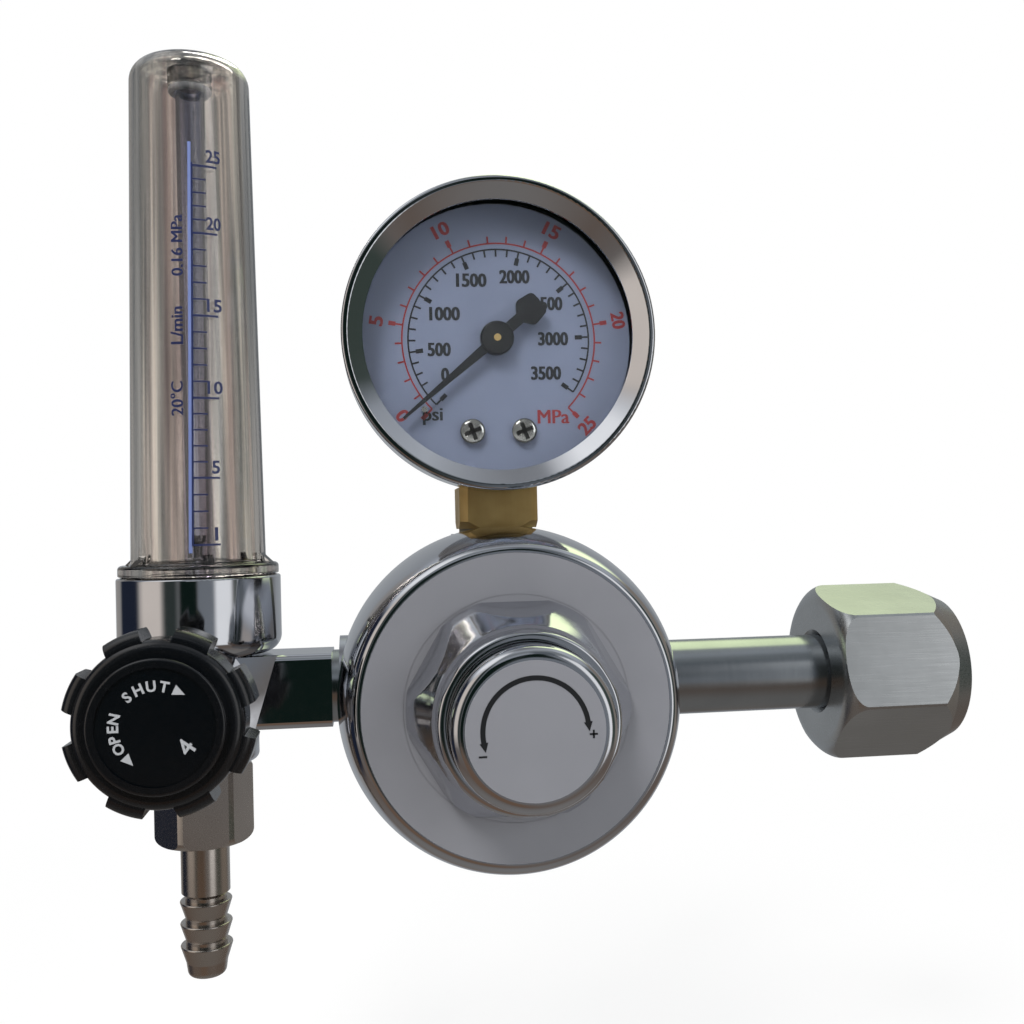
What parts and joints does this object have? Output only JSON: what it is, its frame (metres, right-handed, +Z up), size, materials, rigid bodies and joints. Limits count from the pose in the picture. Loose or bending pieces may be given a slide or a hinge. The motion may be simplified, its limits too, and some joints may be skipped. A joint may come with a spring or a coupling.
{
  "type": "carbon dioxide flowmeter regulator",
  "caption": "Gas bottle regulator with a round pressure gauge on top, a clear flow tube with a needle valve on the left, a hose tail below and a union nut on the right.",
  "frame": {"origin": "centre of the mouth of the inlet nut's thread, on its axis", "axes": "+X out of the inlet nut towards the bottle valve, +Z up along the gauge and the flow tube, -Y out of the dial and the knobs"},
  "size_m": [0.1697, 0.0809, 0.1808],
  "materials": {
    "chrome_plate": "polished chrome on cast brass",
    "satin_nickel": "satin nickel on turned brass",
    "silver_label": "flat silver print",
    "case_steel": "drawn stainless steel",
    "window": "clear flat window",
    "dial_enamel": "matt white enamel",
    "pointer_black": "matt black",
    "brass": "machined",
    "plated_brass": "satin chrome on brass",
    "clear_cover": "clear plastic, slightly smoky",
    "clear_tube": "clear plastic",
    "rubber_black": "moulded",
    "sealing_fibre": "plain",
    "sintered_bronze": "sintered",
    "spring_steel": "bright wire",
    "screw_steel": "nickel plated",
    "cover_black": "moulded",
    "heater_ceramic": "fired",
    "knob_black": "glossy moulded",
    "knob_face": "glossy print",
    "float_steel": "ground"
  },
  "bodies": {
    "regulator": {"inlet_stem": "satin_nickel", "inlet_washer": "sealing_fibre", "inlet_filter": "sintered_bronze", "regulator_body": "plated_brass", "valve_nozzle": "brass", "poppet_spring": "spring_steel", "diaphragm": "rubber_black", "slip_ring": "screw_steel", "bonnet": "chrome_plate", "bonnet_label": "silver_label", "main_spring": "spring_steel", "heater_element": "heater_ceramic", "heater_cover": "cover_black", "heater_screws": "screw_steel", "cable_gland": "cover_black", "gauge_socket": "brass", "gauge_gasket": "sealing_fibre", "gauge_case": "case_steel", "case_screws": "screw_steel", "gauge_bezel": "chrome_plate", "gauge_lens": "window", "lens_gasket": "rubber_black", "gauge_dial": "dial_enamel", "dial_screws": "screw_steel", "pointer_stop": "screw_steel", "movement_plate_front": "brass", "movement_plate_rear": "brass", "bourdon_tube": "brass", "flow_body": "chrome_plate", "arm_washer": "satin_nickel", "gland_nut": "chrome_plate", "gland_packing": "sealing_fibre", "flow_cover": "clear_cover", "cover_oring": "rubber_black", "metering_tube": "clear_tube", "tube_seal_lower": "rubber_black", "tube_seal_upper": "rubber_black", "hose_tail": "satin_nickel", "outlet_washer": "sealing_fibre"},
    "inlet_union": {"inlet_nut": "satin_nickel"},
    "outlet_union": {"outlet_nut": "satin_nickel"},
    "button": {"spring_button": "screw_steel"},
    "cap": {"adjusting_cap": "chrome_plate", "cap_label": "silver_label"},
    "pressure_valve": {"valve_poppet": "brass", "diaphragm_plate": "screw_steel"},
    "pointer": {"gauge_pointer": "pointer_black", "gauge_pinion": "brass"},
    "sector": {"sector_gear": "brass"},
    "link": {"gauge_link": "brass"},
    "float": {"flow_float": "float_steel"},
    "spindle": {"needle_spindle": "screw_steel"},
    "knob": {"valve_knob": "knob_black", "knob_label": "knob_face", "knob_screw": "screw_steel"}
  },
  "joints": [
    {"name": "inlet_nut_spin", "type": "hinge", "parent": "regulator", "child": "inlet_union", "pos_m": [-0.0136, 0, 0], "axis": [1, 0, 0], "continuous": true},
    {"name": "outlet_nut_spin", "type": "hinge", "parent": "regulator", "child": "outlet_union", "pos_m": [-0.154, 0, -0.0208], "axis": [0, 0, 1], "continuous": true},
    {"name": "cap_travel", "type": "slide", "parent": "regulator", "child": "button", "axis": [0, 1, 0], "range_m": [-0.0015, 0.003], "deforming": ["main_spring"]},
    {"name": "cap_turn", "type": "hinge", "parent": "button", "child": "cap", "pos_m": [-0.0947, -0.045, 0], "axis": [0, 1, 0], "range_deg": [-360, 720]},
    {"name": "poppet_lift", "type": "slide", "parent": "regulator", "child": "pressure_valve", "axis": [0, 1, 0], "range_m": [0, 0.0008], "stiffness_N_per_m": 1500, "deforming": ["poppet_spring", "diaphragm"]},
    {"name": "pointer_turn", "type": "hinge", "parent": "regulator", "child": "pointer", "pos_m": [-0.0947, -0.006, 0.0691], "axis": [0, 1, 0], "range_deg": [0, 265], "stiffness_Nm_per_rad": 0.002, "deforming": ["bourdon_tube"]},
    {"name": "sector_turn", "type": "hinge", "parent": "regulator", "child": "sector", "pos_m": [-0.0947, -0.0026, 0.0565], "axis": [0, 1, 0], "range_deg": [-44.2, 0]},
    {"name": "link_turn", "type": "hinge", "parent": "sector", "child": "link", "pos_m": [-0.08794, -0.003, 0.05469], "axis": [0, 1, 0], "range_deg": [0, 44.2]},
    {"name": "float_rise", "type": "slide", "parent": "regulator", "child": "float", "axis": [0, 0, 1], "range_m": [0, 0.085]},
    {"name": "valve_travel", "type": "slide", "parent": "regulator", "child": "spindle", "axis": [0, -1, 0], "range_m": [0, 0.003]},
    {"name": "knob_turn", "type": "hinge", "parent": "spindle", "child": "knob", "pos_m": [-0.154, -0.04, 0.002], "axis": [0, -1, 0], "range_deg": [0, 1080]}
  ],
  "couplings": [
    {"joint": "cap_travel", "follows": "cap_turn", "m_per_rad": 0.0002387},
    {"joint": "valve_travel", "follows": "knob_turn", "m_per_rad": 0.0001591},
    {"joint": "sector_turn", "follows": "pointer_turn", "ratio": -0.16667},
    {"joint": "link_turn", "follows": "pointer_turn", "ratio": 0.16667}
  ]
}
